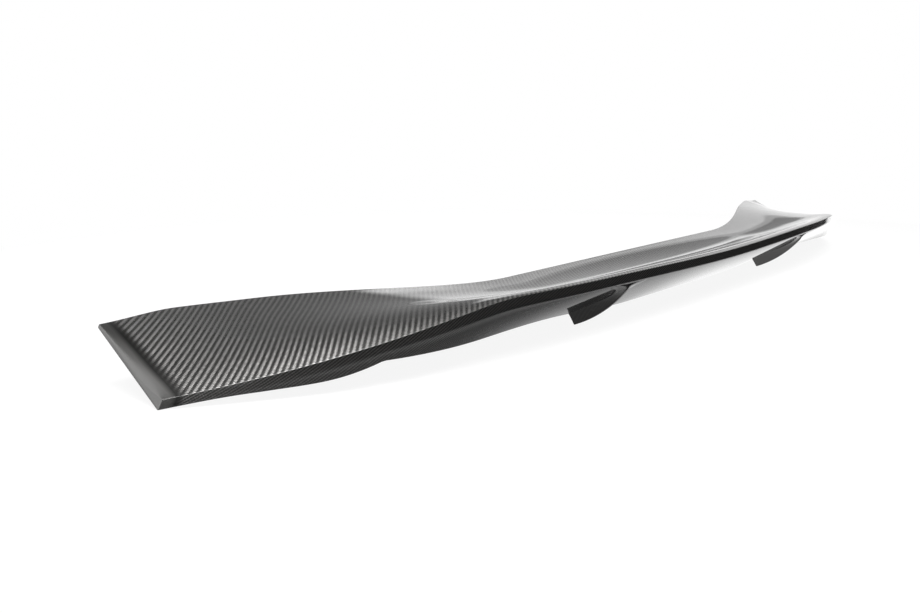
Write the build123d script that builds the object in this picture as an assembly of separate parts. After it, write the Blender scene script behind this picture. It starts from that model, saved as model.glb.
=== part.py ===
from build123d import *

import os
from math import exp, sqrt

# Car rear spoiler: a moulded boot-lid spoiler with a raised centre lip and two swept end panels.
# Millimetres. X runs across the car, +Y points to the front of the car, +Z is up.
# The origin is under the middle of the part, on the plane that its tips and fins stand on.
# Every cross-section is a closed outline with the same five edges: top curve, trailing face,
# underside of the lip, base and front edge. Each is worked out from its position along the span.

# Overall size
SPAN = 1406.0                 # tip to tip across the car, at the ground plane
DEPTH = 244.0                 # rear of the lip to the front corners of the end panels
KINK_X = 441.0                # where the level lip breaks down into the end panel

# Trailing crease, the sharp rear edge of the top surface
KINK_SOFTNESS = 0.09          # rounding of the break, as a share of the end panel's span
KINK_SWEEP = 25.0             # how far the crease has come forward at the kink
TIP_SWEEP = 154.0             # and at the tip
LIP_HEIGHT = 57.0             # crease above the ground plane at the centre
LIP_RISE = 3.5                # extra height of the lip at its outer part

# Trailing face, from the crease down
LIP_FACE = 8.8                # its height along the lip
TIP_FACE = 7.8                # its height at the tip, which stands on the ground plane
SHOULDER_FACE = 9.0           # extra height at the shoulder of the end panel

# Front edge, which lies on the boot lid
FRONT_SWEEP = 100.0           # end panel's front edge ahead of the centre's
FRONT_HEIGHT = 44.0
FRONT_RISE = 12.0             # end panel's front edge above the centre's
FRONT_CORNER_DROP = 3.8       # fall of the front edge towards the corner
EDGE_THICKNESS = 3.0

# Keel, the lowest line under the lip
KEEL_SETBACK = 74.0           # ahead of the crease at the centre
KEEL_HEIGHT = 4.6
KEEL_RISE = 17.5              # extra height of the keel near the kink
KEEL_LAND = 2.5               # what is left of the setback under the end panels

# Top surface
DISH_DEPTH = 12.0             # sag of the centre top surface below its front edge
LIP_ROLL = 16.0               # length of the rounded top of the lip
LIP_CROWN = 7.5               # pull of the lip's rounded top above the crease
PANEL_SAG = 9.0               # pull of the end panels below their front edge

# Raked ends, with the top surface rolled over into them
END_RAKE = 12.0               # front corner inboard of the rear corner
END_LEAN = 0.45               # outward lean of the end face per unit of fall
END_ROLL = 6.0                # span of the rolled edge
END_ROLL_DROP = 5.0           # fall of the top surface across it

# Gusset fins under the lip, whose roots flare out, most of all at the tail
FIN_X = 249.0
FIN_THICKNESS = 4.0
FIN_TOE_BEHIND = 6.5          # lowest corner, on the ground plane, behind the keel
FIN_BELLY_BEHIND = 32.0       # a point of the bowed lower edge, behind the keel
FIN_BELLY_Z = 12.7
FIN_TAIL_INSET = 4.0          # tail ahead of the trailing face
FIN_TAIL_DROP = 8.0           # tail below the heel
FIN_TOE_FLARE = 1.0           # widening of each side at the root
FIN_TAIL_FLARE = 34.0
FIN_SEAT = 4.0                # how far the root goes into the moulding

# Flat land under the centre that takes the mounting tape
LAND_LENGTH = 240.0
LAND_WIDTH = 40.0
LAND_HEIGHT = 1.0

# Places along the lip, as shares of its half-length
KEEL_RISE_START = 0.28        # keel starts to rise
KEEL_FADE_START = 0.45        # keel starts to come back to the trailing face
FRONT_SWEEP_START = 0.59      # front edge starts to sweep forward and rise
LIP_RISE_END = 0.635          # lip has reached its outer height
PANEL_START = 0.86            # dish starts to turn into the end panel

# Places along the end panel, as shares of its span from the kink
FRONT_RISE_END = 0.40         # front edge has risen
END_TURN_START = 0.455        # sections start to turn into the raked end
KEEL_END = 0.49               # keel has run into the trailing face
SHOULDER_AT = 0.55            # trailing face is tallest
SHOULDER_WIDTH = 0.21
PANEL_END = 0.80              # end panel is fully formed
FRONT_CORNER_START = 0.72     # front edge starts to fall to the corner
TIP_FACE_START = 0.76         # trailing face starts to run down to its height at the tip

# Control points of the cross-section's curves, as shares of its chord
FORE_AT = 0.30                # behind the front edge
FORE_SAG = 0.75               # of the dish depth
BELLY_AT = 0.62
BELLY_FALL = 0.64             # of the fall from front edge to crease
ROLL_AT = 0.24                # ahead of the crease, on the end panel
ROLL_RISE = 0.13
UNDER_AT = 0.24               # from crease to keel
UNDER_FALL = 0.42             # from heel to keel
FLARE_AT = 0.29               # of a fin's flare, at a share of its depth
FLARE_RISE = 0.71
FLARE_POWER = 2.5             # growth of the flare towards the tail

# Cross-sections: shares of the lip's half-length, of the end panel and of the rolled edge
LIP_STATIONS = (0.0, 0.32, 0.59, 0.79, 0.93)
PANEL_STATIONS = (0.0, 0.14, 0.29, 0.45, 0.6, 0.77, 0.9)
ROLL_STATIONS = (1.0, 0.5, 0.15, 0.0)
FIN_STATIONS = (0.0, 0.3, 0.55, 0.75, 0.9, 1.0)

HALF_SPAN = SPAN / 2
PANEL_SPAN = HALF_SPAN - KINK_X
REAR_Y = -DEPTH / 2
FRONT_Y = DEPTH / 2 - FRONT_SWEEP


def smooth(start, end, x):
    """0 before start, 1 after end, with an S-shaped rise between them."""
    t = min(max((x - start) / (end - start), 0.0), 1.0)
    return t * t * (3.0 - 2.0 * t)


def soft_ramp(t):
    """0 well below t = 0, rising in proportion to t above it, rounded at the break."""
    return 0.5 * (t + sqrt(t * t + KINK_SOFTNESS**2))


def mix(a, b, share):
    return a + (b - a) * share


def on_lip(share):
    return share * KINK_X


def on_panel(share):
    return KINK_X + share * PANEL_SPAN


def crease(x):
    """(y, z) of the trailing crease."""
    kink, tip = KINK_X**2, HALF_SPAN**2
    quartic = (TIP_SWEEP - KINK_SWEEP * tip / kink) / (tip * tip - tip * kink)
    quadratic = KINK_SWEEP / kink - quartic * kink
    y = REAR_Y + quadratic * x**2 + quartic * x**4
    lip = LIP_HEIGHT + LIP_RISE * smooth(0.0, on_lip(LIP_RISE_END), x)
    fall = soft_ramp((x - KINK_X) / PANEL_SPAN) / soft_ramp(1.0)
    return y, mix(lip, TIP_FACE, fall)


def heel(x):
    """z of the trailing face's lower edge."""
    away = (x - on_panel(SHOULDER_AT)) / (SHOULDER_WIDTH * PANEL_SPAN)
    height = LIP_FACE + SHOULDER_FACE * exp(-(away**2))
    return crease(x)[1] - mix(height, TIP_FACE, smooth(on_panel(TIP_FACE_START), HALF_SPAN, x))


def keel(x):
    """(y, z) of the keel."""
    faded = smooth(on_lip(KEEL_FADE_START), on_panel(KEEL_END), x)
    y = crease(x)[0] + mix(KEEL_SETBACK, KEEL_LAND, faded)
    return y, min(KEEL_HEIGHT + KEEL_RISE * smooth(on_lip(KEEL_RISE_START), KINK_X, x), heel(x))


def underside(x):
    """(y, z) of the heel, of the control point that bows the underside and of the keel."""
    foot = (crease(x)[0], heel(x))
    bottom = keel(x)
    return foot, (mix(foot[0], bottom[0], UNDER_AT), mix(foot[1], bottom[1], UNDER_FALL)), bottom


def front(x):
    """(y, z) of the front edge."""
    start = on_lip(FRONT_SWEEP_START)
    y = FRONT_Y + FRONT_SWEEP * smooth(start, HALF_SPAN, x)
    z = FRONT_HEIGHT + FRONT_RISE * smooth(start, on_panel(FRONT_RISE_END), x)
    return y, z - FRONT_CORNER_DROP * smooth(on_panel(FRONT_CORNER_START), HALF_SPAN, x)


def section(x, side):
    """Closed outline of the moulding at span position x, on the left (-1) or right (1) side."""
    front_y, front_z = front(x)
    crease_y, crease_z = crease(x)
    chord = front_y - crease_y
    panel = smooth(on_lip(PANEL_START), on_panel(PANEL_END), x)
    turned = smooth(on_panel(END_TURN_START), HALF_SPAN, x)
    lean = END_LEAN * turned
    rake = (END_RAKE * turned - lean * (front_z - crease_z)) / chord
    rolled = min(max(x - HALF_SPAN + END_ROLL, 0.0) / END_ROLL, 1.0)
    drop = END_ROLL_DROP * (1.0 - sqrt(1.0 - rolled**2))

    def at(y, z):
        return (side * (x - rake * (y - crease_y) - lean * z), y, z)

    fore_z = front_z - mix(FORE_SAG * DISH_DEPTH, PANEL_SAG, panel)
    fore = at(front_y - FORE_AT * chord, fore_z - drop)
    belly_z = mix(front_z - DISH_DEPTH, mix(front_z, crease_z, BELLY_FALL), panel)
    belly = at(front_y - BELLY_AT * chord, belly_z - drop)
    roll_z = crease_z + mix(LIP_CROWN, ROLL_RISE * chord, panel)
    roll = at(crease_y + mix(LIP_ROLL, ROLL_AT * chord, panel), roll_z - drop)
    foot, bow, bottom = [at(*point) for point in underside(x)]
    chin = at(front_y, front_z - EDGE_THICKNESS)

    top = Bezier(at(front_y, front_z), fore, belly, roll, at(crease_y, crease_z))
    face = Line(at(crease_y, crease_z), foot)
    under = Bezier(foot, bow, bottom)
    base = Line(bottom, chin)
    edge = Line(chin, at(front_y, front_z))
    return Face(Wire([top, face, under, base, edge]))


def moulding():
    """The body, lofted from tip to tip through its cross-sections."""
    reach = [on_lip(share) for share in LIP_STATIONS]
    reach += [on_panel(share) for share in PANEL_STATIONS]
    reach += [HALF_SPAN - END_ROLL * share for share in ROLL_STATIONS]
    outlines = [section(x, -1) for x in reversed(reach[1:])]
    outlines += [section(x, 1) for x in reach]
    return loft(outlines)


def fin_section(low, high, flare):
    """Outline across a fin from its lower edge to its root, with concave flanks."""
    depth = (high - low).length
    half = FIN_THICKNESS / 2
    wide = half + flare
    flank = (half + FLARE_AT * flare, FLARE_RISE * depth)
    top = depth + FIN_SEAT
    right = ThreePointArc((half, 0), flank, (wide, depth))
    left = ThreePointArc((-wide, depth), (-flank[0], flank[1]), (-half, 0))
    seat = Polyline((wide, depth), (wide, top), (-wide, top), (-wide, depth))
    rise = (high - low).normalized()
    across = Plane((0, low.X, low.Y), x_dir=(1, 0, 0), z_dir=(0, -rise.Y, rise.X))
    return across * make_face([right, *seat.edges(), left, Line((-half, 0), (half, 0))])


def fin(side):
    """A gusset fin: a blade under the lip, cut square at its toe."""
    foot, bow, bottom = underside(FIN_X)
    toe = (bottom[0] - FIN_TOE_BEHIND, 0)
    belly = (bottom[0] - FIN_BELLY_BEHIND, FIN_BELLY_Z)
    tail = (foot[0] + FIN_TAIL_INSET, foot[1] - FIN_TAIL_DROP)
    lower = ThreePointArc(toe, belly, tail)
    root = Bezier(bottom, bow, (tail[0], foot[1]))
    flares = [mix(FIN_TOE_FLARE, FIN_TAIL_FLARE, share**FLARE_POWER) for share in FIN_STATIONS]
    outlines = [fin_section(lower @ share, root @ share, flare) for share, flare in zip(FIN_STATIONS, flares)]
    return Pos(side * FIN_X, 0, 0) * loft(outlines)


def tape_land():
    """The flat land on the base, square to the base's slope at the centre."""
    keel_y, keel_z = keel(0.0)
    front_y, front_z = front(0.0)
    slope = Vector(0, front_y - keel_y, front_z - EDGE_THICKNESS - keel_z)
    middle = Vector(0, keel_y, keel_z) + slope * 0.5
    down = slope.cross(Vector(1, 0, 0))
    seat = Plane(middle, x_dir=(1, 0, 0), z_dir=down)
    return extrude(seat * Rectangle(LAND_LENGTH, LAND_WIDTH), LAND_HEIGHT, both=True)


if __name__ == "__main__":
    os.makedirs("parts", exist_ok=True)
    spoiler = moulding() + fin(-1) + fin(1) + tape_land()
    export_step(spoiler, "parts/rear_spoiler.step")
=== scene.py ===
"""Car rear spoiler in clear-coated carbon twill, dressed over its frame.

Metres. X runs across the car, +Y points to the front of the car and +Z is up, as in the frame.
The skin is worked out section by section along the span, so that the weave can follow it.
"""
from math import cos, exp, pi, radians, sin, sqrt

import bpy
from bpy.props import FloatProperty, FloatVectorProperty, PointerProperty
from bpy.types import Operator, Panel, PropertyGroup
from mathutils import Matrix, Vector


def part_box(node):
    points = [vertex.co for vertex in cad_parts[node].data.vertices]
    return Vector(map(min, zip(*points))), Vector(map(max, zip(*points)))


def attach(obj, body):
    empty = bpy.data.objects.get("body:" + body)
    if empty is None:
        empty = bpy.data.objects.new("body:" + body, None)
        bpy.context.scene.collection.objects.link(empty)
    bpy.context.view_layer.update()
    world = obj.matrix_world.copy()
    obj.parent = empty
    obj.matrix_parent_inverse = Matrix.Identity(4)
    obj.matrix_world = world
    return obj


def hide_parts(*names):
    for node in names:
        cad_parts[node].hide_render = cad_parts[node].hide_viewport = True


bl_info = {
    "name": "Car Rear Spoiler",
    "version": (1, 0, 0),
    "blender": (4, 5, 0),
    "location": "View3D > Sidebar > Spoiler",
    "description": "Builds a boot-lid spoiler in clear-coated carbon twill",
    "category": "Object",
}

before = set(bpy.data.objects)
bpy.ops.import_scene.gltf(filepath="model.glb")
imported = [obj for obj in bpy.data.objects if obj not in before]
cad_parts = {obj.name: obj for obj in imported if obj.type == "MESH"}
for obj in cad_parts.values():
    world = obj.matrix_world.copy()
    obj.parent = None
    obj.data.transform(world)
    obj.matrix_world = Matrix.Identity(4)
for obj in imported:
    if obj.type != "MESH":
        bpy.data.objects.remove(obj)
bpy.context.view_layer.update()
NODE = "rear_spoiler"
BODY = "root"
NODE_LOW, NODE_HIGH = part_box(NODE)

# Overall size, from the frame
HALF_SPAN = round(NODE_HIGH.x, 3)
REAR_Y = NODE_LOW.y
FRONT_SWEEP = 0.100           # end panel's front edge ahead of the centre's
FRONT_Y = NODE_HIGH.y - FRONT_SWEEP
KINK_X = 0.441                # where the level lip breaks down into the end panel
PANEL_SPAN = HALF_SPAN - KINK_X

# Trailing crease, the sharp rear edge of the top surface
KINK_SOFTNESS = 0.09          # rounding of the break, as a share of the end panel's span
KINK_SWEEP = 0.025            # how far the crease has come forward at the kink
TIP_SWEEP = 0.154             # and at the tip
LIP_HEIGHT = 0.057            # crease above the floor at the centre
LIP_RISE = 0.0035             # extra height of the lip at its outer part

# Trailing face, from the crease down
LIP_FACE = 0.0088             # its height along the lip
TIP_FACE = 0.0015             # its height at the tip

# Flank under the trailing face of the end panel, from the crease down
TIP_FLANK = 0.0078            # to the floor at the tip
SHOULDER_FLANK = 0.009        # extra height at the shoulder of the end panel

# Front edge, which lies on the boot lid
FRONT_HEIGHT = 0.044
FRONT_RISE = 0.012            # end panel's front edge above the centre's
FRONT_CORNER_DROP = 0.0038    # fall of the front edge towards the corner
EDGE_THICKNESS = 0.003

# Keel, the lowest line under the lip
KEEL_SETBACK = 0.074          # ahead of the crease at the centre
KEEL_HEIGHT = 0.0046
KEEL_RISE = 0.0175            # extra height of the keel near the kink
KEEL_LAND = 0.0012            # what is left of the setback under the end panels

# Top surface
DISH_DEPTH = 0.012            # sag of the centre top surface below its front edge
LIP_ROLL = 0.016              # length of the rounded top of the lip
LIP_CROWN = 0.0075            # pull of the lip's rounded top above the crease
PANEL_SAG = 0.009             # pull of the end panels below their front edge

# Raked ends, with the top surface rolled over into them
END_RAKE = 0.012              # front corner inboard of the rear corner
END_LEAN = 0.45               # outward lean of the end face per unit of fall
END_ROLL = 0.016              # span of the rolled edge
END_PLAIN = (0.0, 0.5)        # shares of it over which the weave gives way to the plain colour and its painted shade
END_ROLL_DROP = 0.005         # fall of the top surface across it

# Gusset fins under the lip, whose roots flare out, most of all at the tail
FIN_X = 0.249
FIN_THICKNESS = 0.004
FIN_TOE_BEHIND = 0.0065       # lowest corner, on the floor, behind the keel
FIN_BELLY_BEHIND = 0.032      # a point of the bowed lower edge, behind the keel
FIN_BELLY_Z = 0.0127
FIN_TAIL_INSET = 0.004        # tail ahead of the trailing face
FIN_TAIL_DROP = 0.008         # tail below the heel
FIN_TOE_FLARE = 0.001         # widening of each side at the root
FIN_TAIL_FLARE = 0.034
FIN_SEAT = 0.003              # how far the root goes into the moulding
FLARE_POWER = 2.5             # growth of the flare towards the tail

# Flat land under the centre that takes the mounting tape
LAND_LENGTH = 0.240
LAND_WIDTH = 0.040
LAND_HEIGHT = 0.001

# Places along the lip, as shares of its half-length
KEEL_RISE_START = 0.28        # keel starts to rise
KEEL_FADE_START = 0.45        # keel starts to come back to the trailing face
FRONT_SWEEP_START = 0.59      # front edge starts to sweep forward and rise
LIP_RISE_END = 0.635          # lip has reached its outer height
PANEL_START = 0.86            # dish starts to turn into the end panel

# Places along the end panel, as shares of its span from the kink
FRONT_RISE_END = 0.40         # front edge has risen
END_TURN_START = 0.455        # sections start to turn into the raked end
KEEL_END = 0.49               # keel has run into the trailing face
SHOULDER_AT = 0.55            # flank is tallest
SHOULDER_WIDTH = 0.21
PANEL_END = 0.80              # end panel is fully formed
FRONT_CORNER_START = 0.72     # front edge starts to fall to the corner
TIP_FLANK_START = 0.76        # flank starts to run down to its height at the tip

# Control points of the section's curves, as shares of its chord
FORE_AT = 0.30                # behind the front edge
FORE_SAG = 0.75               # of the dish depth
BELLY_AT = 0.62
BELLY_FALL = 0.64             # of the fall from front edge to crease
ROLL_AT = 0.24                # ahead of the crease, on the end panel
ROLL_RISE = 0.13
UNDER_AT = 0.24               # from crease to keel
UNDER_FALL = 0.42             # from heel to keel

# Share of the plain colour that covers the weave; the painted shade below darkens it
FACE_PLAIN = 0.55
FLANK_PLAIN = 0.5             # on the underside of the end panel
UNDER_PLAIN = 0.9             # on the underside of the lip, and on the base
UNDER_WOVEN = (0.05, 0.25)    # shares of the end panel over which the lip's turns into the panel's
FIN_PLAIN = 0.92

# Painted shade on the plain colour, as a share of it: rolled edge, trailing face and underside
BAND_PAINTED_SHADE = 0.25              # painted shade along the inside of the rolled edge, before the paler rim
RIM_START = (0.5, 0.7)        # shares of the rolled edge over which the painted shade lifts to the paler rim
FACE_PAINTED_SHADE = 0.35
UNDER_PAINTED_SHADE = 0.45

# Cloth and clear coat
TWILL_REPEAT = 4.0            # tows in one repeat of the twill
WARP_FLOAT = 2.0              # tows that the warp passes over in it
CROWN_POWER = 2.0             # roundness of a tow across
DIP_POWER = 4.0               # and along its float
DIP_HEIGHT = 0.5              # relief of the float's ends against that across
GAP_POWER = 0.25              # the smaller, the narrower the resin gaps
FIBRE_ACROSS = 9.0            # fibre streaks for each tow's width
FIBRE_ALONG = 0.35            # and for that length along it
TOW_ROUGHNESS = 0.30
STREAK_ROUGHNESS = 0.12       # added to it along the palest streaks
FLANK_BIAS = 2.2              # girth of the cloth below the crease against the surface's
SPECULAR_TINT = (0.3, 0.3, 0.3, 1.0)
COAT_ROUGHNESS = 0.015
COAT_IOR = 1.5
KEYED_ROUGHNESS = 0.3         # added to the tows' where the land is keyed for adhesive

# Grid of the skin
LIP_STATIONS = 70             # sections on each half of the lip
PANEL_STATIONS = 64           # sections on each end panel
ROLL_STATIONS = 12            # sections on each rolled edge
CURVE_POINTS = (56, 7, 16, 18, 4)     # points on the top, face, underside, base and front edge
CORNER_POINTS = 5
CORNER_LIMIT = 0.4            # largest share of a curve that a rounded corner takes
FIN_COLUMNS = 64
FIN_ARC_POINTS = 256          # points on the fin's lower edge, before its columns are placed
FIN_ROWS = 20
RIM_POINTS = 4

# Studio: what the gloss mirrors, as ranges over which each change is made
# Angles across a window and elevations are given as their sines
FLOOR_FADE = (0.62, 1.0)              # distance over which the floor turns plain white
CLOTH_LEVEL = 0.02                    # paleness of the dark cloths that lie on the floor
CLOTH_EDGE = (-0.15, -0.10)           # along Y, the edge of a dark cloth behind the lip
END_AHEAD = (0.442, 0.897, 0.0)       # away from the dark cloth behind the near end panel
END_EDGE = (-0.372, -0.342)           # and its edge in that direction
NEAR_SWEEP = (-0.35, 0.15)            # along X, where the floor's painted glow beside the part, seen only in the gloss, turns brighter
NEAR_LEVELS = (0.30, 1.1)
END_SWEEP = (0.40, 0.60)              # and again beside the far end
END_GAIN = 0.7
FRONT_EDGE = (0.10, 0.22)             # along Y, where the floor ahead of the part starts
AHEAD_WAY = (1.0, -1.303, 0.0)        # across the view, where that floor's painted glow turns brighter
AHEAD_SWEEP = (-0.43, -0.37)
AHEAD_LEVELS = (0.22, 1.15)
WINDOW_SIDE = (0.9135, 0.4067, 0.0)   # level direction to the middle of a broad window, and across it
WINDOW_ACROSS = (-0.4067, 0.9135, 0.0)
WINDOW_FACING = (0.0, 0.1)            # cosine of the level angle from its middle
WINDOW_RIGHT = (-0.40, -0.28)         # angle across it
WINDOW_LEFT = (0.215, 0.25)
WINDOW_HEAD = (0.43, 0.56)            # elevation
WINDOW_SWEEP = (0.10, 0.25)           # angle across it where it turns brighter
WINDOW_LEVELS = (1.1, 1.2)
BRIGHT_RIGHT = (0.10, 0.17)           # its brighter upper left corner: angle across
BRIGHT_FOOT = (0.27, 0.36)            # and elevation
BRIGHT_GAIN = 0.8
SCREEN_AT = (0.052, 0.182)            # dark screen before it: angle across and elevation
SCREEN_SIZE = (0.105, 0.115)
SCREEN_EDGE = (0.90, 1.0)             # as shares of its size
SCREEN_SWEEP = (-0.04, 0.14)          # angle across the window where it turns paler
SCREEN_LEVELS = (0.32, 0.55)
RIM_INSIDE = (0.92, 1.0)              # its darker rim, as shares of its size
RIM_OUTSIDE = (1.04, 1.12)
RIM_LOSS = 0.35
END_WINDOW_WAY = (-0.497, 0.552, 0.669)     # to the middle of a round window off the near end
END_WINDOW_EDGE = (0.80, 0.92)        # cosine of the angle from its middle
CEILING_EDGE = (0.70, 0.93)           # elevation where the walls turn into a dark ceiling
CEILING_SHARE = 0.05

# Softboxes: place, the point that each is aimed at, and size
OVERHEAD_PLACE = Vector((-0.95, -0.75, 2.1))
OVERHEAD_AIM = Vector((-0.55, 0.03, 0.03))
OVERHEAD_SIZE = (2.0, 1.8)
SIDE_PLACE = Vector((2.6, -1.05, 1.1))
SIDE_AIM = Vector((0.1, -0.1, 0.05))
SIDE_SIZE = (0.5, 0.5)

# Camera, from the photograph's view
IMAGE_WIDTH = 920
FOCAL_PIXELS = 1060.0
SENSOR_WIDTH = 36.0
CLIP_START = 0.01
CAMERA_PLACE = Vector((-1.1765, -0.5973, 0.2230))
CAMERA_FORWARD = Vector((0.78837, 0.58589, -0.18764))
CAMERA_RIGHT = Vector((0.59648, -0.80263, 0.0))


def smooth(start, end, x):
    """0 before start, 1 after end, with an S-shaped rise between them."""
    t = min(max((x - start) / (end - start), 0.0), 1.0)
    return t * t * (3.0 - 2.0 * t)


def soft_ramp(t):
    """0 well below t = 0, rising in proportion to t above it, rounded at the break."""
    return 0.5 * (t + sqrt(t * t + KINK_SOFTNESS**2))


def mix(a, b, share):
    return a + (b - a) * share


def on_lip(share):
    return share * KINK_X


def on_panel(share):
    return KINK_X + share * PANEL_SPAN


def crease(x):
    """(y, z) of the trailing crease."""
    kink, tip = KINK_X**2, HALF_SPAN**2
    quartic = (TIP_SWEEP - KINK_SWEEP * tip / kink) / (tip * tip - tip * kink)
    quadratic = KINK_SWEEP / kink - quartic * kink
    y = REAR_Y + quadratic * x**2 + quartic * x**4
    lip = LIP_HEIGHT + LIP_RISE * smooth(0.0, on_lip(LIP_RISE_END), x)
    fall = soft_ramp((x - KINK_X) / PANEL_SPAN) / soft_ramp(1.0)
    return y, mix(lip, TIP_FLANK, fall)


def heel(x):
    """z of the trailing face's lower edge."""
    return crease(x)[1] - mix(LIP_FACE, TIP_FACE, smooth(KINK_X, HALF_SPAN, x))


def skirt(x):
    """z of the end panel's lower edge."""
    away = (x - on_panel(SHOULDER_AT)) / (SHOULDER_WIDTH * PANEL_SPAN)
    height = LIP_FACE + SHOULDER_FLANK * exp(-(away**2))
    return crease(x)[1] - mix(height, TIP_FLANK, smooth(on_panel(TIP_FLANK_START), HALF_SPAN, x))


def keel(x):
    """(y, z) of the keel."""
    faded = smooth(on_lip(KEEL_FADE_START), on_panel(KEEL_END), x)
    y = crease(x)[0] + mix(KEEL_SETBACK, KEEL_LAND, faded)
    return y, min(KEEL_HEIGHT + KEEL_RISE * smooth(on_lip(KEEL_RISE_START), KINK_X, x), skirt(x))


def underside(x):
    """The heel, the control point that bows the underside, and the keel."""
    foot = Vector((crease(x)[0], heel(x)))
    bottom = Vector(keel(x))
    return [foot, Vector((mix(foot.x, bottom.x, UNDER_AT), mix(foot.y, bottom.y, UNDER_FALL))), bottom]


def front(x):
    """(y, z) of the front edge."""
    start = on_lip(FRONT_SWEEP_START)
    y = FRONT_Y + FRONT_SWEEP * smooth(start, HALF_SPAN, x)
    z = FRONT_HEIGHT + FRONT_RISE * smooth(start, on_panel(FRONT_RISE_END), x)
    return y, z - FRONT_CORNER_DROP * smooth(on_panel(FRONT_CORNER_START), HALF_SPAN, x)


def section_curves(x):
    """The section's five curves at span position x, each a list of control points (y, z)."""
    front_y, front_z = front(x)
    crease_y, crease_z = crease(x)
    chord = front_y - crease_y
    panel = smooth(on_lip(PANEL_START), on_panel(PANEL_END), x)
    rolled = min(max(x - HALF_SPAN + END_ROLL, 0.0) / END_ROLL, 1.0)
    drop = END_ROLL_DROP * (1.0 - sqrt(1.0 - rolled**2))
    fore_z = front_z - mix(FORE_SAG * DISH_DEPTH, PANEL_SAG, panel)
    belly_z = mix(front_z - DISH_DEPTH, mix(front_z, crease_z, BELLY_FALL), panel)
    roll_y = crease_y + mix(LIP_ROLL, ROLL_AT * chord, panel)
    roll_z = crease_z + mix(LIP_CROWN, ROLL_RISE * chord, panel)

    nose = Vector((front_y, front_z))
    fore = Vector((front_y - FORE_AT * chord, fore_z - drop))
    belly = Vector((front_y - BELLY_AT * chord, belly_z - drop))
    roll = Vector((roll_y, roll_z - drop))
    ridge = Vector((crease_y, crease_z))
    under = underside(x)
    chin = Vector((front_y, front_z - EDGE_THICKNESS))
    return [[nose, fore, belly, roll, ridge], [ridge, under[0]], under, [under[-1], chin], [chin, nose]]


def bezier(points, t):
    while len(points) > 1:
        points = [p.lerp(q, t) for p, q in zip(points, points[1:])]
    return points[0]


def trim(curve, radius, at_start):
    """Share of a curve that a corner of that radius takes from its start or end."""
    near = curve[1] - curve[0] if at_start else curve[-1] - curve[-2]
    speed = (len(curve) - 1) * near.length
    return min(radius / speed, CORNER_LIMIT)


def rounded_outline(curves, radii, counts):
    """Points round a closed outline, with each curve's end corner rounded to its radius."""
    points = []
    ridge_index = 0
    for k, (curve, count) in enumerate(zip(curves, counts)):
        following = curves[(k + 1) % len(curves)]
        start = trim(curve, radii[k - 1], True)
        end = 1.0 - trim(curve, radii[k], False)
        points += [bezier(curve, mix(start, end, i / (count - 1))) for i in range(count)]
        corner = [points[-1], curve[-1], bezier(following, trim(following, radii[k], True))]
        if k == 0:
            ridge_index = len(points) + CORNER_POINTS // 2
        points += [bezier(corner, (i + 1) / (CORNER_POINTS + 1)) for i in range(CORNER_POINTS)]
    return points, ridge_index


def section_ring(x, side, radii):
    """3-D points round the section at span position x, and their girth from the crease."""
    curves = section_curves(x)
    outline, ridge_index = rounded_outline(curves, radii, CURVE_POINTS)
    front_y, front_z = front(x)
    crease_y, crease_z = crease(x)
    turned = smooth(on_panel(END_TURN_START), HALF_SPAN, x)
    lean = END_LEAN * turned
    rake = (END_RAKE * turned - lean * (front_z - crease_z)) / (front_y - crease_y)
    ring = [Vector((side * (x - rake * (p.x - crease_y) - lean * p.y), p.x, p.y)) for p in outline]
    girth = [0.0]
    for p, q in zip(outline, outline[1:] + outline[:1]):
        girth.append(girth[-1] + (q - p).length)
    zero = girth[ridge_index]
    return ring, [(zero - g) * (1.0 if g < zero else FLANK_BIAS) for g in girth]


def plain_ring(x):
    """Share of plain colour and its painted shade at each point of a section's ring."""
    rolled = 1.0 - (HALF_SPAN - x) / END_ROLL
    tip = smooth(*END_PLAIN, rolled)
    woven = smooth(on_panel(UNDER_WOVEN[0]), on_panel(UNDER_WOVEN[1]), x)
    under = mix(UNDER_PLAIN, FLANK_PLAIN, woven)
    # Painted shade: darker along the inside of the rolled edge, lifting to the plain colour at the rim;
    # the trailing face and the underside get painted shade of their own
    rim = mix(BAND_PAINTED_SHADE, 1.0, smooth(*RIM_START, rolled))
    shares = (tip, max(tip, FACE_PLAIN), max(tip, under), max(tip, UNDER_PLAIN), tip)
    painted_shades = (rim, mix(FACE_PAINTED_SHADE, rim, tip), mix(UNDER_PAINTED_SHADE, rim, tip), UNDER_PAINTED_SHADE, rim)
    counts = [count + CORNER_POINTS for count in CURVE_POINTS]
    return [[value for value, count in zip(values, counts) for _ in range(count)]
            for values in (shares, painted_shades)]


def span_stations():
    """Span positions of the sections from the centre to the tip."""
    lip = [KINK_X * i / LIP_STATIONS for i in range(LIP_STATIONS)]
    panel = [KINK_X + (PANEL_SPAN - END_ROLL) * i / PANEL_STATIONS for i in range(PANEL_STATIONS)]
    bend = [0.5 * pi * i / ROLL_STATIONS for i in range(ROLL_STATIONS + 1)]
    return lip + panel + [HALF_SPAN - END_ROLL * (1.0 - sin(angle)) for angle in bend]


def make_mesh(name, points, faces, uvs):
    """A smooth mesh with one UV map, given in metres for each face's corners."""
    mesh = bpy.data.meshes.new(name)
    mesh.from_pydata(points, [], faces)
    layer = mesh.uv_layers.new(name="Weave")
    flat = [value for face in uvs for uv in face for value in uv]
    layer.data.foreach_set("uv", flat)
    mesh.shade_smooth()
    mesh.validate()
    return mesh


def set_plain_and_painted_shade(mesh, plain, painted_shade):
    """Stores the share of plain colour and its painted shade at each point."""
    for name, values in (("Plain", plain), ("Painted Shade", painted_shade)):
        mesh.attributes.new(name, "FLOAT", "POINT").data.foreach_set("value", values)


def add_piece(mesh, material):
    """Puts a finished mesh into the scene as a piece that stands for the frame's node."""
    mesh.materials.clear()
    mesh.materials.append(material)
    piece = bpy.data.objects.new(mesh.name, mesh)
    bpy.context.scene.collection.objects.link(piece)
    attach(piece, BODY)
    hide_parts(NODE)


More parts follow.
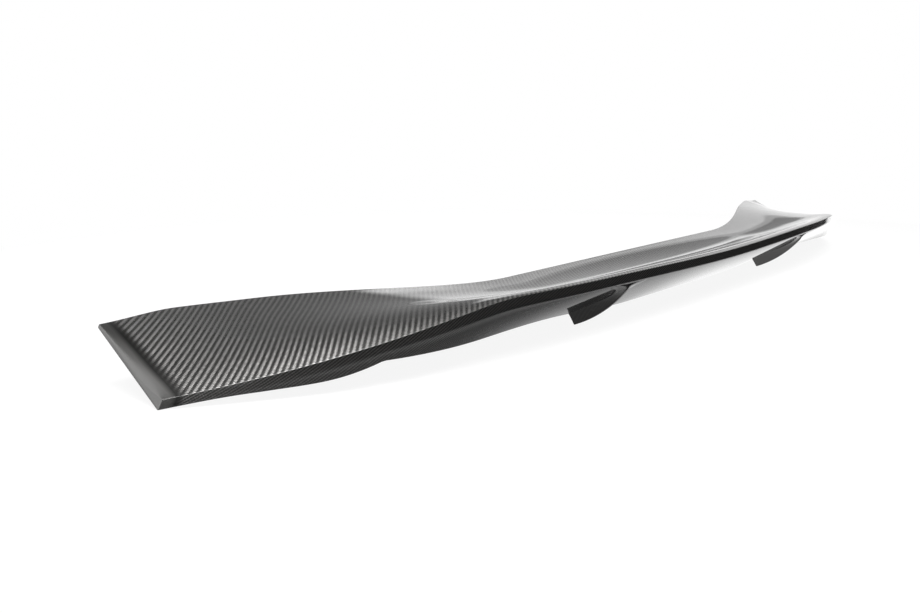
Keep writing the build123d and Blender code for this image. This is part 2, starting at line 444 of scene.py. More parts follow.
def moulding_mesh(sizes):
    """The moulding's closed skin, from tip to tip."""
    radii = (sizes.crease_radius, sizes.heel_radius, sizes.keel_radius,
             sizes.front_radius, sizes.front_radius)
    half = span_stations()
    stations = [(-1, x) for x in reversed(half[1:])] + [(1, x) for x in half]
    points = []
    plain = []
    painted_shade = []
    girths = []
    lengths = []
    travelled = 0.0
    last = None
    for side, x in stations:
        ring, girth = section_ring(x, side, radii)
        here = Vector((side * x, *crease(x)))
        travelled += (here - last).length if last else 0.0
        last = here
        points += ring
        for values, more in zip((plain, painted_shade), plain_ring(x)):
            values += more
        girths.append(girth)
        lengths.append(travelled)
    middle = 0.5 * lengths[-1]
    count = len(points) // len(stations)
    faces = []
    uvs = []
    for i in range(len(stations) - 1):
        for j in range(count):
            k = (j + 1) % count
            faces.append((i * count + j, i * count + k, (i + 1) * count + k, (i + 1) * count + j))
            here, there = lengths[i] - middle, lengths[i + 1] - middle
            uvs.append([(here, girths[i][j]), (here, girths[i][j + 1]),
                        (there, girths[i + 1][j + 1]), (there, girths[i + 1][j])])
    for end, order in ((0, reversed(range(count))), (len(stations) - 1, range(count))):
        loop = [end * count + j for j in order]
        faces.append(tuple(loop))
        uvs.append([(points[v].y, points[v].z) for v in loop])
    mesh = make_mesh("moulding", points, faces, uvs)
    set_plain_and_painted_shade(mesh, plain, painted_shade)
    mark_end_faces(mesh, 2)
    return mesh


def mark_end_faces(mesh, count):
    """Shades the last few faces flat, with sharp edges round them."""
    ends = mesh.polygons[-count:]
    rim = set()
    for face in ends:
        face.use_smooth = False
        rim.update(face.edge_keys)
    for edge in mesh.edges:
        if edge.key in rim:
            edge.use_edge_sharp = True


def arc_points(a, b, c, count):
    """Points on the arc from a through b to c."""
    cross = 2.0 * ((b - a).cross(c - a))
    ab, ac = (b - a).length_squared, (c - a).length_squared
    u, v = b - a, c - a
    centre = a + Vector((v.y * ab - u.y * ac, u.x * ac - v.x * ab)) / cross
    start, end = a - centre, c - centre
    turn = start.angle_signed(end)
    return [centre + Matrix.Rotation(-turn * (i / (count - 1)), 2) @ start for i in range(count)]


def along(path, share):
    """The point at a share of a polyline's length."""
    steps = [(q - p).length for p, q in zip(path, path[1:])]
    left = share * sum(steps)
    for p, q, step in zip(path, path[1:], steps):
        if left <= step:
            return p.lerp(q, left / step)
        left -= step
    return path[-1]


def fin_columns(sizes, length):
    """Places of a fin's cross-sections, as shares of its length, with the inset of its rounded ends."""
    bends = [0.5 * pi * i / RIM_POINTS for i in range(RIM_POINTS)]
    toe = [(sizes.fin_rim * (1.0 - cos(a)) / length, sizes.fin_rim * (1.0 - sin(a))) for a in bends]
    tail = [(1.0 - sizes.fin_tail * (1.0 - cos(a)) / length, sizes.fin_tail * (1.0 - sin(a)))
            for a in bends]
    first, last = sizes.fin_rim / length, 1.0 - sizes.fin_tail / length
    middle = [(mix(first, last, i / FIN_COLUMNS), 0.0) for i in range(FIN_COLUMNS + 1)]
    return toe + middle + tail[::-1]


def fin_profile(depth, flare, inset, rim):
    """(offset, rise) of one flank of a fin's section, from its lower edge to inside the moulding."""
    half = 0.5 * FIN_THICKNESS - inset
    rim = min(rim, half)
    corner = [0.5 * pi * i / RIM_POINTS for i in range(RIM_POINTS)]
    flank = [0.5 * pi * i / FIN_ROWS for i in range(FIN_ROWS + 1)]
    profile = [(half - rim + rim * sin(a), inset + rim * (1.0 - cos(a))) for a in corner]
    profile += [(half + flare * (1.0 - cos(a)), mix(inset + rim, depth, sin(a))) for a in flank]
    return profile + [(half + flare, depth + FIN_SEAT)]


def fin_mesh(sizes):
    """The right-hand fin: a blade with blunt ends, whose root flares into the moulding."""
    foot, _, bottom = underside(FIN_X)
    toe = Vector((bottom.x - FIN_TOE_BEHIND, 0.0))
    belly = Vector((bottom.x - FIN_BELLY_BEHIND, FIN_BELLY_Z))
    tail = Vector((foot.x + FIN_TAIL_INSET, foot.y - FIN_TAIL_DROP))
    lower = arc_points(toe, belly, tail, FIN_ARC_POINTS)
    length = sum((q - p).length for p, q in zip(lower, lower[1:]))
    reach = 1.0 - FIN_TAIL_INSET / (bottom.x - foot.x)
    columns = fin_columns(sizes, length)
    points = []
    flat = []
    for share, inset in columns:
        low = along(lower, share)
        place = 1.0 - reach * share
        high = bezier(underside(FIN_X), place)
        depth = (high - low).length
        rise = (high - low) / depth
        flare = mix(FIN_TOE_FLARE, FIN_TAIL_FLARE, share**FLARE_POWER)
        profile = fin_profile(depth, flare, inset, sizes.fin_rim)
        for offset, climb in [(-o, c) for o, c in reversed(profile)] + profile:
            seat = bezier(underside(FIN_X + offset), place) - high
            p = low + rise * climb + seat * (climb / depth)
            points.append(Vector((FIN_X + offset, p.x, p.y)))
            flat.append((share * length, climb + abs(offset)))
    count = len(points) // len(columns)
    faces = []
    for i in range(len(columns) - 1):
        for j in range(count):
            k = (j + 1) % count
            faces.append((i * count + j, i * count + k, (i + 1) * count + k, (i + 1) * count + j))
    faces.append(tuple(reversed(range(count))))
    faces.append(tuple(range(len(points) - count, len(points))))
    mesh = make_mesh("fin_right", points, faces, [[flat[v] for v in face] for face in faces])
    # The fins get the plain colour under the underside's painted shade.
    set_plain_and_painted_shade(mesh, [FIN_PLAIN] * len(points), [UNDER_PAINTED_SHADE] * len(points))
    mark_end_faces(mesh, 2)
    return mesh


def mirror_tree(material):
    """Geometry nodes that add the mirror image of a shape across X = 0."""
    tree = bpy.data.node_groups.new("Mirrored Pair", "GeometryNodeTree")
    tree.interface.new_socket("Geometry", in_out="INPUT", socket_type="NodeSocketGeometry")
    mirror = tree.interface.new_socket("Mirror", in_out="INPUT", socket_type="NodeSocketVector")
    mirror.default_value = (-1.0, 1.0, 1.0)
    tree.interface.new_socket("Geometry", in_out="OUTPUT", socket_type="NodeSocketGeometry")
    source = tree.nodes.new("NodeGroupInput")
    target = tree.nodes.new("NodeGroupOutput")
    turn = tree.nodes.new("GeometryNodeTransform")
    flip = tree.nodes.new("GeometryNodeFlipFaces")
    join = tree.nodes.new("GeometryNodeJoinGeometry")
    real = tree.nodes.new("GeometryNodeRealizeInstances")
    paint = tree.nodes.new("GeometryNodeSetMaterial")
    paint.inputs["Material"].default_value = material
    tree.links.new(source.outputs["Geometry"], turn.inputs["Geometry"])
    tree.links.new(source.outputs["Mirror"], turn.inputs["Scale"])
    tree.links.new(turn.outputs["Geometry"], flip.inputs["Mesh"])
    tree.links.new(source.outputs["Geometry"], join.inputs["Geometry"])
    tree.links.new(flip.outputs["Mesh"], join.inputs["Geometry"])
    tree.links.new(join.outputs["Geometry"], real.inputs["Geometry"])
    tree.links.new(real.outputs["Geometry"], paint.inputs["Geometry"])
    tree.links.new(paint.outputs["Geometry"], target.inputs["Geometry"])
    return tree


def realised(mesh, tree, name):
    """The plain mesh that a geometry node tree makes of a mesh."""
    carrier = bpy.data.objects.new(name, mesh)
    bpy.context.scene.collection.objects.link(carrier)
    modifier = carrier.modifiers.new("Nodes", "NODES")
    modifier.node_group = tree
    depsgraph = bpy.context.evaluated_depsgraph_get()
    result = bpy.data.meshes.new_from_object(carrier.evaluated_get(depsgraph))
    carrier.modifiers.remove(modifier)
    bpy.data.objects.remove(carrier)
    result.name = name
    return result


def land_mesh(sizes):
    """The flat tape land on the base, with a chamfered rim."""
    base = section_curves(0.0)[3]
    middle = base[0].lerp(base[1], 0.5)
    slope = (base[1] - base[0]).normalized()
    down = Vector((0.0, slope.y, -slope.x))
    forward = Vector((0.0, slope.x, slope.y))
    origin = Vector((0.0, middle.x, middle.y))
    chamfer = sizes.land_chamfer
    points = []
    for inset, height in ((0.0, -LAND_HEIGHT), (0.0, LAND_HEIGHT - chamfer), (chamfer, LAND_HEIGHT)):
        for sx, sy in ((-1, -1), (1, -1), (1, 1), (-1, 1)):
            across = sx * (0.5 * LAND_LENGTH - inset)
            ahead = sy * (0.5 * LAND_WIDTH - inset)
            points.append(origin + Vector((across, 0.0, 0.0)) + forward * ahead + down * height)
    faces = [(0, 1, 2, 3), (11, 10, 9, 8)]
    for level in (0, 4):
        for i in range(4):
            k = (i + 1) % 4
            faces.append((level + i, level + 4 + i, level + 4 + k, level + k))
    uvs = [[(points[v].x, points[v].y) for v in face] for face in faces]
    mesh = make_mesh("tape_land", points, faces, uvs)
    mesh.shade_flat()
    return mesh


def link_math(tree, operation, *values):
    """A Math node on sockets or numbers; gives its output."""
    node = tree.nodes.new("ShaderNodeMath")
    node.operation = operation
    for socket, value in zip(node.inputs, values):
        if isinstance(value, bpy.types.NodeSocket):
            tree.links.new(value, socket)
        else:
            socket.default_value = value
    return node.outputs[0]


def vector_math(tree, operation, vector, other=(0.0, 0.0, 0.0)):
    """A Vector Math node with a number for its result; gives that output."""
    node = tree.nodes.new("ShaderNodeVectorMath")
    node.operation = operation
    tree.links.new(vector, node.inputs[0])
    node.inputs[1].default_value = other
    return node.outputs["Value"]


def ramp(tree, value, source, target):
    """A value mapped smoothly from one range to another and held at its ends."""
    node = tree.nodes.new("ShaderNodeMapRange")
    node.interpolation_type = "SMOOTHSTEP"
    tree.links.new(value, node.inputs["Value"])
    for name, number in zip(("From Min", "From Max", "To Min", "To Max"), (*source, *target)):
        node.inputs[name].default_value = number
    return node.outputs["Result"]


def pick(tree, choice, yes, no):
    """The first of two values where choice is 1, the second where it is 0."""
    node = tree.nodes.new("ShaderNodeMix")
    tree.links.new(choice, node.inputs[0])
    tree.links.new(no, node.inputs[2])
    tree.links.new(yes, node.inputs[3])
    return node.outputs[0]


def mix_colour(tree, share, first, second):
    node = tree.nodes.new("ShaderNodeMix")
    node.data_type = "RGBA"
    tree.links.new(share, node.inputs[0])
    tree.links.new(first, node.inputs[6])
    tree.links.new(second, node.inputs[7])
    return node.outputs[2]


def bulge(tree, value, width, power):
    """1 in the middle of a tow or float of that width and 0 at its edges."""
    centred = link_math(tree, "ABSOLUTE", link_math(tree, "MULTIPLY_ADD", value, 2.0 / width, -1.0))
    return link_math(tree, "SUBTRACT", 1.0, link_math(tree, "POWER", centred, power))


def twill_group():
    """Shader nodes for a 2x2 twill: the colour, roughness and height of its tows over a UV map."""
    tree = bpy.data.node_groups.new("Carbon Twill", "ShaderNodeTree")
    for name, kind in (("UV", "Vector"), ("Tow Pitch", "Float"), ("Warp Colour", "Color"),
                       ("Weft Colour And Glint", "Color"), ("Gap Colour", "Color"), ("Plain Colour", "Color"),
                       ("Plain", "Float"), ("Painted Shade", "Float"), ("Streaks", "Float")):
        tree.interface.new_socket(name, in_out="INPUT", socket_type="NodeSocket" + kind)
    for name, kind in (("Colour", "Color"), ("Roughness", "Float"), ("Height", "Float")):
        tree.interface.new_socket(name, in_out="OUTPUT", socket_type="NodeSocket" + kind)
    source = tree.nodes.new("NodeGroupInput")
    target = tree.nodes.new("NodeGroupOutput")
    split = tree.nodes.new("ShaderNodeSeparateXYZ")
    tree.links.new(source.outputs["UV"], split.inputs[0])
    a = link_math(tree, "DIVIDE", split.outputs["X"], source.outputs["Tow Pitch"])
    b = link_math(tree, "DIVIDE", split.outputs["Y"], source.outputs["Tow Pitch"])
    column = link_math(tree, "FLOOR", a)
    row = link_math(tree, "FLOOR", b)
    step = link_math(tree, "FLOORED_MODULO", link_math(tree, "SUBTRACT", column, row), TWILL_REPEAT)
    warp = link_math(tree, "LESS_THAN", step, WARP_FLOAT - 0.5)

    warp_along = link_math(tree, "ADD", link_math(tree, "SUBTRACT", b, column), 1.0)
    weft_along = link_math(tree, "SUBTRACT", link_math(tree, "SUBTRACT", a, row), WARP_FLOAT)
    across_warp = link_math(tree, "SUBTRACT", a, column)
    across_weft = link_math(tree, "SUBTRACT", b, row)
    across = pick(tree, warp, across_warp, across_weft)
    run = link_math(tree, "FLOORED_MODULO", pick(tree, warp, warp_along, weft_along), TWILL_REPEAT)
    crown = bulge(tree, across, 1.0, CROWN_POWER)
    dip = bulge(tree, run, WARP_FLOAT, DIP_POWER)
    tow = pick(tree, warp, column, link_math(tree, "ADD", row, 0.5))

    spread = tree.nodes.new("ShaderNodeTexWhiteNoise")
    spread.noise_dimensions = "1D"
    tree.links.new(tow, spread.inputs["W"])
    fibre = tree.nodes.new("ShaderNodeCombineXYZ")
    place = link_math(tree, "ADD", across, tow)
    tree.links.new(link_math(tree, "MULTIPLY", place, FIBRE_ACROSS), fibre.inputs["X"])
    tree.links.new(link_math(tree, "MULTIPLY", pick(tree, warp, b, a), FIBRE_ALONG), fibre.inputs["Y"])
    streak = tree.nodes.new("ShaderNodeTexNoise")
    streak.inputs["Scale"].default_value = 1.0
    streak.inputs["Detail"].default_value = 1.0
    tree.links.new(fibre.outputs[0], streak.inputs["Vector"])
    both = link_math(tree, "ADD", spread.outputs["Value"], streak.outputs["Fac"])
    uneven = link_math(tree, "SUBTRACT", both, 1.0)
    shade = link_math(tree, "MULTIPLY_ADD", uneven, source.outputs["Streaks"], 1.0)

    # The weft's paler colour carries a painted glint over the tows' own colour.
    cloth = mix_colour(tree, warp, source.outputs["Weft Colour And Glint"], source.outputs["Warp Colour"])
    open_gap = link_math(tree, "POWER", link_math(tree, "MINIMUM", crown, dip), GAP_POWER)
    woven = mix_colour(tree, open_gap, source.outputs["Gap Colour"], cloth)
    toned = tree.nodes.new("ShaderNodeVectorMath")
    toned.operation = "SCALE"
    tree.links.new(woven, toned.inputs[0])
    tree.links.new(shade, toned.inputs["Scale"])
    # Plain colour darkened by the painted shade that each point carries
    plain = tree.nodes.new("ShaderNodeVectorMath")
    plain.operation = "SCALE"
    tree.links.new(source.outputs["Plain Colour"], plain.inputs[0])
    tree.links.new(source.outputs["Painted Shade"], plain.inputs["Scale"])
    finish = mix_colour(tree, source.outputs["Plain"], toned.outputs[0], plain.outputs[0])
    tree.links.new(finish, target.inputs["Colour"])
    rough = link_math(tree, "MULTIPLY_ADD", streak.outputs["Fac"], STREAK_ROUGHNESS, TOW_ROUGHNESS)
    tree.links.new(rough, target.inputs["Roughness"])
    height = link_math(tree, "MULTIPLY_ADD", dip, DIP_HEIGHT, crown)
    woven_share = link_math(tree, "SUBTRACT", 1.0, source.outputs["Plain"])
    tree.links.new(link_math(tree, "MULTIPLY", height, woven_share), target.inputs["Height"])
    return tree


def carbon_material(name, weave, coat, roughened):
    """Carbon twill under a clear coat, or keyed for adhesive where coat is 0."""
    material = bpy.data.materials.new(name)
    material.use_nodes = True
    tree = material.node_tree
    shader = tree.nodes["Principled BSDF"]
    group = bpy.data.node_groups.get("Carbon Twill") or twill_group()
    cloth = tree.nodes.new("ShaderNodeGroup")
    cloth.node_tree = group
    uv = tree.nodes.new("ShaderNodeUVMap")
    uv.uv_map = "Weave"
    tree.links.new(uv.outputs["UV"], cloth.inputs["UV"])
    cloth.inputs["Tow Pitch"].default_value = weave.tow_pitch
    cloth.inputs["Warp Colour"].default_value = (*weave.warp_colour, 1.0)
    cloth.inputs["Weft Colour And Glint"].default_value = (*weave.weft_colour_and_glint, 1.0)
    cloth.inputs["Gap Colour"].default_value = (*weave.gap_colour, 1.0)
    cloth.inputs["Plain Colour"].default_value = (*weave.plain_colour, 1.0)
    cloth.inputs["Streaks"].default_value = weave.streaks
    # Share of plain colour and its painted shade, read from the mesh's points
    for attribute in ("Plain", "Painted Shade"):
        finish = tree.nodes.new("ShaderNodeAttribute")
        finish.attribute_name = attribute
        tree.links.new(finish.outputs["Fac"], cloth.inputs[attribute])
    bump = tree.nodes.new("ShaderNodeBump")
    bump.inputs["Strength"].default_value = 1.0
    bump.inputs["Distance"].default_value = weave.relief
    tree.links.new(cloth.outputs["Height"], bump.inputs["Height"])
    tree.links.new(cloth.outputs["Colour"], shader.inputs["Base Color"])
    rough = link_math(tree, "ADD", cloth.outputs["Roughness"], roughened)
    tree.links.new(rough, shader.inputs["Roughness"])
    tree.links.new(bump.outputs["Normal"], shader.inputs["Normal"])
    shader.inputs["Metallic"].default_value = weave.metallic
    shader.inputs["Specular Tint"].default_value = SPECULAR_TINT
    shader.inputs["Coat Weight"].default_value = coat
    shader.inputs["Coat Roughness"].default_value = COAT_ROUGHNESS
    shader.inputs["Coat IOR"].default_value = COAT_IOR
    return material


class SpoilerSizes(PropertyGroup):
    """Edge radii and other small sizes of the skin."""

    crease_radius: FloatProperty(
        name="Crease Radius", description="Rounding of the trailing crease",
        default=0.0002, unit="LENGTH")
    heel_radius: FloatProperty(
        name="Heel Radius", description="Rounding under the trailing face",
        default=0.002, unit="LENGTH")
    keel_radius: FloatProperty(
        name="Keel Radius", description="Rounding of the keel", default=0.0008, unit="LENGTH")
    front_radius: FloatProperty(
        name="Front Radius", description="Rounding of the front edge's corners",
        default=0.001, unit="LENGTH")
    fin_rim: FloatProperty(
        name="Fin Rim Radius", description="Rounding of the fins' blunt rim",
        default=0.0006, unit="LENGTH")
    fin_tail: FloatProperty(
        name="Fin Tail Radius", description="Rounding of the fins' tails",
        default=0.0018, unit="LENGTH")
    land_chamfer: FloatProperty(
        name="Land Chamfer", description="Chamfer of the tape land", default=0.0005, unit="LENGTH")


class SpoilerWeave(PropertyGroup):
    """The carbon cloth."""

    tow_pitch: FloatProperty(
        name="Tow Pitch", description="Distance between neighbouring tows",
        default=0.00146, unit="LENGTH")
    warp_colour: FloatVectorProperty(
        name="Warp Colour", description="Tows that run along the chord", subtype="COLOR",
        default=(0.045, 0.0443, 0.043))
    # Paler than the warp: the weft tows' own colour plus a painted glint, standing in for their fibres
    # catching the light
    weft_colour_and_glint: FloatVectorProperty(
        name="Weft Colour And Glint", description="Tows that run along the span", subtype="COLOR",
        default=(0.15, 0.1475, 0.144))
    gap_colour: FloatVectorProperty(
        name="Gap Colour", description="Resin between the tows", subtype="COLOR",
        default=(0.015, 0.015, 0.015))
    # Plain dark colour over the weave; where it lies, the points' painted shade darkens it
    plain_colour: FloatVectorProperty(
        name="Plain Colour", description="Finish of the rolled ends, the underside and the fins",
        subtype="COLOR", default=(0.08, 0.079, 0.077))
    streaks: FloatProperty(
        name="Streaks", description="Unevenness of the tows and fibres",
        default=0.18, subtype="FACTOR")
    relief: FloatProperty(
        name="Relief", description="Height of the tows' rounded tops",
        default=0.00016, unit="LENGTH")
    metallic: FloatProperty(
        name="Fibre Lustre", description="Metal-like lustre of the fibres",
        default=0.85, subtype="FACTOR")


class SpoilerStage(PropertyGroup):
    """The floor and the studio's light."""

    floor_level: FloatProperty(
        name="Floor Level", description="Paleness of the floor", default=0.9, subtype="FACTOR")
    floor_glow: FloatProperty(
        name="Floor Glow", description="Share of plain white in the floor that the camera sees",
        default=0.9, subtype="FACTOR")
    floor_size: FloatProperty(
        name="Floor Size", description="Side of the square floor", default=12.0, unit="LENGTH")
    overhead_power: FloatProperty(
        name="Overhead Softbox", description="Power of the softbox above",
        default=25.0, unit="POWER")
    overhead_spread: FloatProperty(
        name="Overhead Spread", description="Spread of the softbox above, narrowed by its grid",
        default=radians(60.0), unit="ROTATION")
    side_power: FloatProperty(
        name="Side Softbox", description="Power of the small softbox behind",
        default=0.6, unit="POWER")
    wall_level: FloatProperty(
        name="Wall Level", description="Light of the walls that the gloss mirrors",
        default=0.27, subtype="FACTOR")
    window_level: FloatProperty(
        name="Window Level", description="Light of the broad window that the gloss mirrors",
        default=1.0, min=0.0, subtype="UNSIGNED")
    end_window_level: FloatProperty(
        name="End Window Level", description="Light of the window off the near end",
        default=1.8, min=0.0, subtype="UNSIGNED")
    room_level: FloatProperty(
        name="Room Level", description="Light of the room all round", default=0.6, subtype="FACTOR")


class SPOILER_OT_moulding(Operator):
    """Build the moulding's skin"""

    bl_idname = "spoiler.moulding"
    bl_label = "Moulding"

    def execute(self, context):
        scene = context.scene
        material = carbon_material("clear coated carbon", scene.spoiler_weave, 1.0, 0.0)
        add_piece(moulding_mesh(scene.spoiler_sizes), material)
        return {"FINISHED"}


class SPOILER_OT_fins(Operator):
    """Build the pair of gusset fins under the lip"""

    bl_idname = "spoiler.fins"
    bl_label = "Gusset Fins"

    def execute(self, context):
        scene = context.scene
        material = bpy.data.materials["clear coated carbon"]
        mesh = realised(fin_mesh(scene.spoiler_sizes), mirror_tree(material), "gusset_fins")
        add_piece(mesh, material)
        return {"FINISHED"}


class SPOILER_OT_tape_land(Operator):
    """Build the flat land that takes the mounting tape"""

    bl_idname = "spoiler.tape_land"
    bl_label = "Tape Land"

    def execute(self, context):
        scene = context.scene
        material = carbon_material("keyed carbon", scene.spoiler_weave, 0.0, KEYED_ROUGHNESS)
        add_piece(land_mesh(scene.spoiler_sizes), material)
        return {"FINISHED"}


class SPOILER_OT_stage(Operator):
    """Lay the floor, set the studio light and place the camera"""

    bl_idname = "spoiler.stage"
    bl_label = "Stage"

    def execute(self, context):
        settings = context.scene.spoiler_stage
        context.scene.view_settings.view_transform = "Standard"
        add_floor(settings)
        light_world(context.scene, settings)
        add_softbox("overhead softbox", OVERHEAD_PLACE, OVERHEAD_AIM, OVERHEAD_SIZE,
                    settings.overhead_spread, settings.overhead_power)
        add_softbox("side softbox", SIDE_PLACE, SIDE_AIM, SIDE_SIZE, pi, settings.side_power)
        add_camera(context.scene)
        return {"FINISHED"}


def add_floor(settings):
    """A pale floor, white to the camera but for a soft shadow; the gloss mirrors dark cloths on it and a
    painted glow that stands in for a lit floor.
    """
    half = 0.5 * settings.floor_size
    mesh = bpy.data.meshes.new("floor")
    corners = [(-half, -half, 0.0), (half, -half, 0.0), (half, half, 0.0), (-half, half, 0.0)]
    mesh.from_pydata(corners, [], [(0, 1, 2, 3)])
    floor = bpy.data.objects.new("floor", mesh)
    bpy.context.scene.collection.objects.link(floor)
    material = bpy.data.materials.new("floor")
    material.use_nodes = True
    tree = material.node_tree
    tree.nodes.remove(tree.nodes["Principled BSDF"])
    place = tree.nodes.new("ShaderNodeTexCoord").outputs["Object"]
    path = tree.nodes.new("ShaderNodeLightPath").outputs
    distance = vector_math(tree, "LENGTH", place)
    far = ramp(tree, distance, FLOOR_FADE, (0.0, 1.0))
    across = vector_math(tree, "DOT_PRODUCT", place, (1.0, 0.0, 0.0))
    ahead = vector_math(tree, "DOT_PRODUCT", place, (0.0, 1.0, 0.0))
    end_ahead = vector_math(tree, "DOT_PRODUCT", place, END_AHEAD)
    end_lit = ramp(tree, end_ahead, END_EDGE, (0.0, 1.0))
    lit = link_math(tree, "MULTIPLY", ramp(tree, ahead, CLOTH_EDGE, (0.0, 1.0)), end_lit)
    # Painted light: for the gloss only, the floor glows where no dark cloth lies, brighter beside and
    # ahead of the part
    mirrored = link_math(tree, "MULTIPLY", lit, path["Is Glossy Ray"])
    end_level = ramp(tree, across, END_SWEEP, (0.0, END_GAIN))
    beside = link_math(tree, "ADD", ramp(tree, across, NEAR_SWEEP, NEAR_LEVELS), end_level)
    aside = vector_math(tree, "DOT_PRODUCT", place, AHEAD_WAY)
    front_level = ramp(tree, aside, AHEAD_SWEEP, AHEAD_LEVELS)
    gloss_level = pick(tree, ramp(tree, ahead, FRONT_EDGE, (0.0, 1.0)), front_level, beside)
    white = link_math(tree, "MAXIMUM", far, settings.floor_glow)
    seen = link_math(tree, "MULTIPLY", white, path["Is Camera Ray"])
    matt = tree.nodes.new("ShaderNodeBsdfDiffuse")
    pale = link_math(tree, "MAXIMUM", lit, path["Is Camera Ray"])
    colour = ramp(tree, pale, (0.0, 1.0), (CLOTH_LEVEL, settings.floor_level))
    tree.links.new(colour, matt.inputs["Color"])
    glow = tree.nodes.new("ShaderNodeEmission")
    strength = link_math(tree, "MULTIPLY_ADD", gloss_level, path["Is Glossy Ray"], path["Is Camera Ray"])
    tree.links.new(strength, glow.inputs["Strength"])
    blend = tree.nodes.new("ShaderNodeMixShader")
    tree.links.new(link_math(tree, "MAXIMUM", seen, mirrored), blend.inputs[0])
    tree.links.new(matt.outputs[0], blend.inputs[1])
    tree.links.new(glow.outputs[0], blend.inputs[2])
    tree.links.new(blend.outputs[0], tree.nodes["Material Output"].inputs["Surface"])
    mesh.materials.append(material)


def studio_level(tree, way, settings):
    """Brightness that the gloss mirrors in each direction: dim walls and two windows."""
    height = vector_math(tree, "DOT_PRODUCT", way, (0.0, 0.0, 1.0))
    flat = tree.nodes.new("ShaderNodeVectorMath")
    flat.operation = "MULTIPLY"
    flat.inputs[1].default_value = (1.0, 1.0, 0.0)
    tree.links.new(way, flat.inputs[0])
    compass = tree.nodes.new("ShaderNodeVectorMath")
    compass.operation = "NORMALIZE"
    tree.links.new(flat.outputs[0], compass.inputs[0])
    towards = vector_math(tree, "DOT_PRODUCT", compass.outputs[0], WINDOW_SIDE)
    across = vector_math(tree, "DOT_PRODUCT", compass.outputs[0], WINDOW_ACROSS)
    window = ramp(tree, towards, WINDOW_FACING, (0.0, 1.0))
    for value, edge, shares in ((across, WINDOW_RIGHT, (0.0, 1.0)), (across, WINDOW_LEFT, (1.0, 0.0)),
                                (height, WINDOW_HEAD, (1.0, 0.0))):
        window = link_math(tree, "MULTIPLY", window, ramp(tree, value, edge, shares))
    corner = link_math(tree, "MULTIPLY", ramp(tree, across, BRIGHT_RIGHT, (0.0, BRIGHT_GAIN)),
                       ramp(tree, height, BRIGHT_FOOT, (0.0, 1.0)))
    sweep = ramp(tree, across, WINDOW_SWEEP, WINDOW_LEVELS)
    panes = link_math(tree, "MULTIPLY_ADD", sweep, corner, sweep)

    offset = tree.nodes.new("ShaderNodeCombineXYZ")
    for value, middle, size, socket in zip((across, height), SCREEN_AT, SCREEN_SIZE, offset.inputs):
        tree.links.new(link_math(tree, "MULTIPLY_ADD", value, 1.0 / size, -middle / size), socket)
    reach = vector_math(tree, "LENGTH", offset.outputs[0])
    covered = ramp(tree, reach, SCREEN_EDGE, (1.0, 0.0))
    screened = link_math(tree, "MULTIPLY", panes, ramp(tree, across, SCREEN_SWEEP, SCREEN_LEVELS))
    rim = link_math(tree, "MULTIPLY", ramp(tree, reach, RIM_INSIDE, (0.0, RIM_LOSS)),
                    ramp(tree, reach, RIM_OUTSIDE, (1.0, 0.0)))
    unrimmed = link_math(tree, "SUBTRACT", 1.0, rim)
    view = link_math(tree, "MULTIPLY", pick(tree, covered, screened, panes), unrimmed)
    bright = link_math(tree, "MULTIPLY", view, settings.window_level)
    walls = ramp(tree, height, CEILING_EDGE, (settings.wall_level, settings.wall_level * CEILING_SHARE))
    off_middle = vector_math(tree, "DOT_PRODUCT", way, END_WINDOW_WAY)
    end_window = ramp(tree, off_middle, END_WINDOW_EDGE, (0.0, settings.end_window_level))
    return pick(tree, window, bright, link_math(tree, "ADD", walls, end_window))


def light_world(scene, settings):
    """A dim studio for the gloss and an even room for the rest; the camera sees white all round."""
    world = bpy.data.worlds.new("studio")
    world.use_nodes = True
    scene.world = world
    tree = world.node_tree
    background = tree.nodes["Background"]
    way = tree.nodes.new("ShaderNodeTexCoord").outputs["Generated"]
    studio = studio_level(tree, way, settings)
    path = tree.nodes.new("ShaderNodeLightPath").outputs
    mirrored = path["Is Glossy Ray"]
    room = ramp(tree, mirrored, (0.0, 1.0), (settings.room_level, 0.0))
    level = link_math(tree, "MULTIPLY_ADD", studio, mirrored, room)
    strength = link_math(tree, "MAXIMUM", level, path["Is Camera Ray"])
    tree.links.new(strength, background.inputs["Strength"])
    background.inputs["Color"].default_value = (1.0, 1.0, 1.0, 1.0)


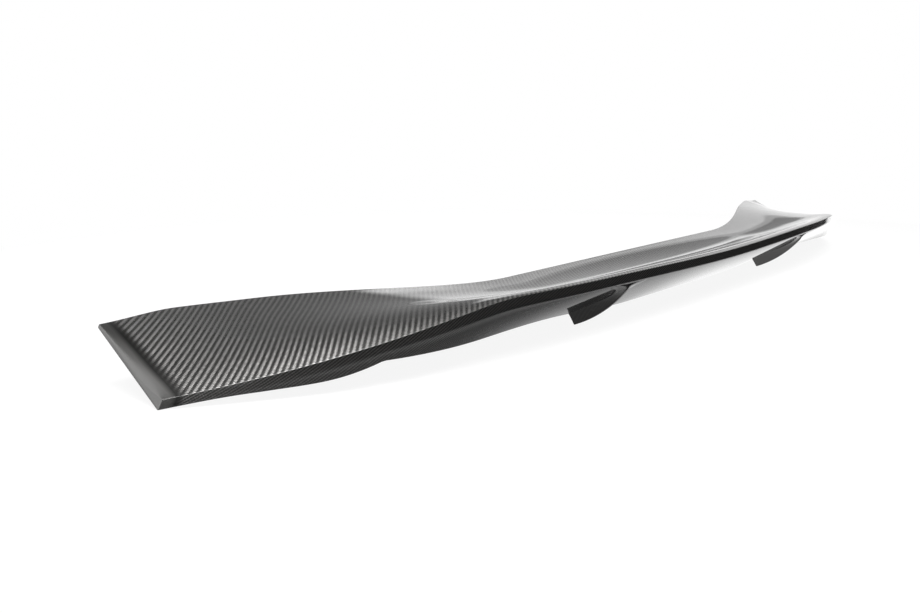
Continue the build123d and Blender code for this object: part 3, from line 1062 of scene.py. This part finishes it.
def add_softbox(name, place, target, size, spread, power):
    """A rectangular area lamp aimed at a point; a narrow spread fades its image towards the edges."""
    lamp = bpy.data.lights.new(name, "AREA")
    lamp.shape = "RECTANGLE"
    lamp.size, lamp.size_y = size
    lamp.spread = spread
    lamp.energy = power
    holder = bpy.data.objects.new(name, lamp)
    holder.location = place
    holder.rotation_euler = (target - place).to_track_quat("-Z", "Y").to_euler()
    bpy.context.scene.collection.objects.link(holder)


def add_camera(scene):
    """The camera at the photograph's place and angle."""
    camera = bpy.data.cameras.new("camera")
    camera.sensor_width = SENSOR_WIDTH
    camera.lens = FOCAL_PIXELS * SENSOR_WIDTH / IMAGE_WIDTH
    camera.clip_start = CLIP_START
    holder = bpy.data.objects.new("camera", camera)
    back = -CAMERA_FORWARD.normalized()
    right = CAMERA_RIGHT.normalized()
    up = back.cross(right)
    turned = Matrix((right, up, back)).transposed().to_4x4()
    holder.matrix_world = Matrix.Translation(CAMERA_PLACE) @ turned
    scene.collection.objects.link(holder)
    scene.camera = holder


class VIEW3D_PT_spoiler(Panel):
    """Sidebar panel of the spoiler's builders"""

    bl_label = "Rear Spoiler"
    bl_space_type = "VIEW_3D"
    bl_region_type = "UI"
    bl_category = "Spoiler"

    def draw(self, context):
        scene = context.scene
        for settings in (scene.spoiler_sizes, scene.spoiler_weave, scene.spoiler_stage):
            box = self.layout.box()
            for name in settings.__annotations__:
                box.prop(settings, name)
        for operator in OPERATORS:
            self.layout.operator(operator.bl_idname)


SETTINGS = {"spoiler_sizes": SpoilerSizes, "spoiler_weave": SpoilerWeave, "spoiler_stage": SpoilerStage}
OPERATORS = (SPOILER_OT_moulding, SPOILER_OT_fins, SPOILER_OT_tape_land, SPOILER_OT_stage)


def register():
    for kind in (*SETTINGS.values(), *OPERATORS, VIEW3D_PT_spoiler):
        bpy.utils.register_class(kind)
    for name, kind in SETTINGS.items():
        setattr(bpy.types.Scene, name, PointerProperty(type=kind))


def unregister():
    for name in SETTINGS:
        delattr(bpy.types.Scene, name)
    for kind in reversed((*SETTINGS.values(), *OPERATORS, VIEW3D_PT_spoiler)):
        bpy.utils.unregister_class(kind)


def main():
    register()
    bpy.ops.spoiler.moulding()
    bpy.ops.spoiler.fins()
    bpy.ops.spoiler.tape_land()
    bpy.ops.spoiler.stage()


if __name__ == "__main__":
    main()
